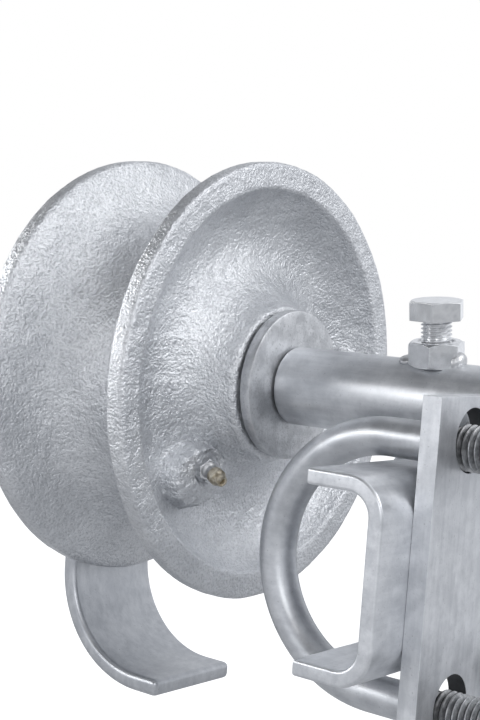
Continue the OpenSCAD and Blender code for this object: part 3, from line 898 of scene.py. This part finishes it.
def make_u_bolt(x, side):
    low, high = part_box(side + "_u_bolt")
    bend = high.y - leg_gap / 2 - rod_radius
    thread_start, leg_end = bend - shank, low.y
    top = leg_middle + leg_gap / 2
    start = (x, thread_start, top)
    rod = drawn(side + "_rod", (2 * rod_radius, 2 * rod_radius), start, 0,
                   [shank, (-math.pi, leg_gap / 2 - rod_radius), shank])
    root = thread_radius - 1.25 * MM
    parts = [rod]
    for z, leg in ((top, "upper"), (top - leg_gap, "lower")):
        core = turned(side + leg + "_core", [
            (0, leg_end), (root - 0.6 * MM, leg_end), (root, leg_end + 0.6 * MM),
            (root, thread_start - 1.5 * MM), (rod_radius, thread_start), (0, thread_start)],
            48, closed=False)
        ridge = thread(side + leg + "_thread", thread_radius, root, 2 * MM, 0,
                       thread_start - leg_end - 3.5 * MM, 48)
        turn = Matrix.Translation((0, thread_start - 1 * MM, 0)) @ Matrix.Rotation(math.pi, 4, "X")
        move(ridge, turn)
        # The thread cores take the nearly black finish: painted shade at the roots of the threads.
        core.data.materials.append(painted_shade)
        ridge.data.materials.append(threaded)
        shift = Matrix.Translation((x, 0, z))
        parts += [move(core, shift), move(ridge, shift)]
    rod.data.materials.append(rod_zinc)
    bolt = join(side + "_clamp_bolt", *parts)
    smooth(bolt, 50)
    return finish(bolt, side + "_u_bolt", "rod_zinc", None, side + "_u_bolt")


def make_leg_hardware(x, side):
    top = leg_middle + leg_gap / 2
    body = side + "_u_bolt"
    nut_low, nut_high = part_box(side + "_nuts")
    flat_low, flat_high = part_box(side + "_flat_washers")
    lock_low, lock_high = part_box(side + "_lock_washers")
    flat_outer = (flat_high.x - flat_low.x) / 2
    nuts, flats, locks = [], [], []
    for z, leg, turn in ((top, "upper", 1), (top - leg_gap, "lower", -1)):
        shift = Matrix.Translation((x, 0, z))
        nut = hexagon(side + leg + "_nut", nut_flats, nut_low.y, nut_high.y,
                      thread_radius + running_gap, 0.35 * MM)
        nuts.append(move(nut, shift @ Matrix.Rotation(math.radians(18 * turn), 4, "Y")))
        flat = ring(side + leg + "_flat", flat_outer, thread_radius + 0.3 * MM, flat_low.y,
                    flat_high.y, 0.35 * MM, 96)
        flats.append(move(flat, shift))
        lock = ring(side + leg + "_lock", lock_outer, thread_radius + 0.2 * MM, lock_low.y,
                    lock_high.y, 0.4 * MM, 72, split_sweep)
        locks.append(move(lock, shift))
    finish(join(side + "_leg_nuts", *nuts), body, "hardware_zinc", plate_zinc, side + "_nuts")
    finish(join(side + "_leg_washers", *flats), body, "hardware_zinc", machined,
           side + "_flat_washers")
    finish(join(side + "_spring_washers", *locks), body, "hardware_zinc", threaded,
           side + "_lock_washers")


def make_set_bolt():
    turn = along_bolt()
    nut_top = sleeve_radius + weld_nut_height
    head = hexagon("set_head", set_flats, set_head_low, set_head_low + set_head_height,
                   edge=0.4 * MM, low_turn=3, high_turn=17)
    move(head, Matrix.Rotation(math.radians(24 - 30), 4, "Y"))
    root = 4.25 * MM
    core = turned("set_core", [
        (0, 10.3 * MM), (root - 0.5 * MM, 10.3 * MM), (root, 11.3 * MM),
        (root, set_head_low + 0.2 * MM), (0, set_head_low + 0.2 * MM)], 48, closed=False)
    ridge = thread("set_thread", 4.95 * MM, root, 1.3 * MM, 10.8 * MM, set_head_low - 0.4 * MM, 48)
    smooth(ridge, 50)
    smooth(core, 40)
    bolt = join("set_bolt_screw", head, core, ridge)
    move(bolt, turn)
    finish(bolt, "set_bolt", "bright_zinc", bright, "set_bolt")
    nut = hexagon("weld_nut_body", set_flats, sleeve_radius - 1.2 * MM, nut_top, 5.3 * MM,
                  0.4 * MM)
    move(nut, turn @ Matrix.Rotation(math.radians(16 - 30), 4, "Y"))
    finish(nut, "bracket", "bright_zinc", bright, "weld_nut")


def make_welds():
    clear_bench()
    bpy.ops.mesh.primitive_torus_add(major_segments=120, minor_segments=20,
                                     major_radius=sleeve_radius + 1.2 * MM, minor_radius=3 * MM,
                                     location=(0, plate_high.y + 1.2 * MM, 0),
                                     rotation=(TURN / 4, 0, 0))
    bead = named("sleeve_bead")
    settle()
    open_mesh()
    bpy.ops.mesh.select_all(action="SELECT")
    bpy.ops.mesh.bisect(plane_co=(0, 0, plate_high.z - 2 * MM), plane_no=(0, 0, 1),
                        use_fill=True, clear_outer=True)
    tidy_faces()
    close_mesh()
    apply_modifier(bead, "DISPLACE", texture=cast_texture("bead_ripple", 0.004, 2),
                   strength=1.2 * MM, mid_level=0.5, texture_coords="LOCAL")
    smooth(bead, 60)
    finish(bead, "bracket", "weld_metal", weld, "sleeve_weld")
    turn = along_bolt()
    lumps = []
    for side, size, flat, out, lift in ((-1, 3.5, 0.50, 9.5, 0), (1, 2.7, 1.15, 7.8, 0.9)):
        clear_bench()
        bpy.ops.mesh.primitive_uv_sphere_add(segments=48, ring_count=28, radius=size * MM)
        lump = named("lump")
        lump.scale = (1.45, flat, 0.95)
        lump.location = (0, sleeve_radius + (lift - 0.1) * MM, side * out * MM)
        settle()
        apply_modifier(lump, "DISPLACE", texture=cast_texture("lump_skin", 0.003, 2),
                       strength=0.5 * MM, mid_level=0.5, texture_coords="LOCAL")
        lumps.append(move(lump, turn))
    beads = join("weld_nut_lumps", *lumps)
    smooth(beads, 60)
    finish(beads, "bracket", "weld_metal", weld, "weld_nut_beads")
    saddle_middle = (saddle_low.z + saddle_high.z) / 2
    strips = []
    for side in (-1, 1):
        clear_bench()
        bpy.ops.mesh.primitive_cylinder_add(
            vertices=32, radius=2.2 * MM, depth=30 * MM, rotation=(0, TURN / 4, 0),
            location=(0, plate_high.y + 1.6 * MM, saddle_middle + side * 26.5 * MM))
        strip = named("strip")
        settle()
        open_mesh()
        bpy.ops.mesh.select_all(action="SELECT")
        bpy.ops.mesh.subdivide(number_cuts=6)
        close_mesh()
        apply_modifier(strip, "DISPLACE", texture=cast_texture("strip_skin", 0.004, 2),
                       strength=0.6 * MM, mid_level=0.5, texture_coords="LOCAL")
        strips.append(strip)
    beads = join("saddle_strips", *strips)
    smooth(beads, 60)
    finish(beads, "bracket", "weld_metal", weld, "saddle_weld")


make_wheel()
make_nipple()
make_thrust_washers()
make_axle()
make_end_washer()
make_guard()
make_sleeve()
make_plate()
make_saddle()
for side, x in (("left", left_bolt_x), ("right", right_bolt_x)):
    make_u_bolt(x, side)
    make_leg_hardware(x, side)
make_set_bolt()
make_welds()

inner_finish = {
    "near_outer_race": steel, "far_outer_race": steel, "near_rollers": steel, "far_rollers": steel,
    "inner_bushing": steel, "near_roller_cage": cage, "far_roller_cage": cage,
    "near_dust_seal": rubber, "far_dust_seal": rubber,
}
for node, material in inner_finish.items():
    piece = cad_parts[node]
    piece.data.materials.clear()
    piece.data.materials.append(material)


# ---------------------------------------------------------------- studio

def softbox(name, place, target, width, height, power):
    light = bpy.data.lights.new(name, "AREA")
    light.shape = "RECTANGLE"
    light.size, light.size_y, light.energy = width, height, power
    lamp = bpy.data.objects.new(name, light)
    bpy.context.scene.collection.objects.link(lamp)
    lamp.location = place
    lamp.rotation_euler = (Vector(target) - Vector(place)).to_track_quat("-Z", "Y").to_euler()
    return lamp


def make_studio():
    clear_bench()
    bpy.ops.mesh.primitive_plane_add(size=8, location=(0, 0, guard_low.z - 0.16))
    floor = named("studio_floor")
    settle()
    floor.data.materials.append(pale_floor())
    floor.visible_glossy = False
    floor.visible_diffuse = False
    make_surround()
    middle = (0, -0.03, -0.02)
    softbox("front_softbox", (0.25, -1.05, 0.72), middle, 0.9, 0.5, 5)
    softbox("near_softbox", (-0.97, -0.62, 0.30), middle, 0.5, 0.35, 1.6)
    softbox("left_softbox", (-1.0, 0.78, 0.36), middle, 0.6, 0.32, 3.0)
    softbox("back_softbox", (-0.25, 1.2, 0.30), middle, 0.6, 0.3, 3.5)


class Surround(Finish):
    """The light that comes from all round, as a world."""

    def __init__(self, name):
        self.world = bpy.data.worlds.new(name)
        self.world.use_nodes = True
        self.tree = self.world.node_tree
        self.place = self.node("ShaderNodeTexCoord", {}, {}, "Generated")


def make_surround():
    """Bright walls that are duller straight in front and to the near right, a ceiling that dulls
    towards the back left, and a dull reflection from below."""
    s = Surround("studio")
    bpy.context.scene.world = s.world
    across = s.node("ShaderNodeSeparateXYZ", {}, {"Vector": s.place}, "X")
    back = s.node("ShaderNodeSeparateXYZ", {}, {"Vector": s.place}, "Y")
    height = s.node("ShaderNodeSeparateXYZ", {}, {"Vector": s.place}, "Z")
    wall = 1 - height.between(0.10, 0.42)
    near_right = (across - back).between(0.2, 1.2)
    ceiling = (1 - wall) * (0.80 - 0.62 * (back - across).between(-0.5, 0.7))
    ahead = (0 - back).between(0.80, 0.99)
    above = wall * (1.0 - 0.10 * near_right - 0.40 * ahead) + ceiling
    floor_share = 1 - height.between(-0.25, 0.0)
    level = above * (1 - floor_share) + floor_share * 0.50
    around = s.node("ShaderNodeBackground", {}, {"Color": (0.955, 0.98, 1.03, 1), "Strength": level})
    backdrop = s.node("ShaderNodeBackground", {}, {"Color": (1, 1, 1, 1)})
    seen = s.node("ShaderNodeLightPath", {}, {}, "Is Camera Ray")
    choose = s.node("ShaderNodeMixShader", {}, {0: seen, 1: around, 2: backdrop})
    s.tree.links.new(choose.socket, s.tree.nodes["World Output"].inputs["Surface"])


def make_camera():
    data = bpy.data.cameras.new("studio_camera")
    camera = bpy.data.objects.new("studio_camera", data)
    bpy.context.scene.collection.objects.link(camera)
    place = (-392.03 * MM, -326.19 * MM, 31.44 * MM)
    azimuth, elevation, roll = (math.radians(a) for a in (-51.88, 2.874, 4.378))
    turn = (Matrix.Rotation(azimuth, 4, "Z") @ Matrix.Rotation(TURN / 4 - elevation, 4, "X")
            @ Matrix.Rotation(roll, 4, "Z"))
    camera.matrix_world = Matrix.Translation(place) @ turn
    data.lens = 70.13
    data.sensor_width = 36
    data.sensor_fit = "AUTO"
    data.clip_start = 0.01
    bpy.context.scene.camera = camera


make_studio()
make_camera()
bpy.context.scene.view_settings.view_transform = "Standard"
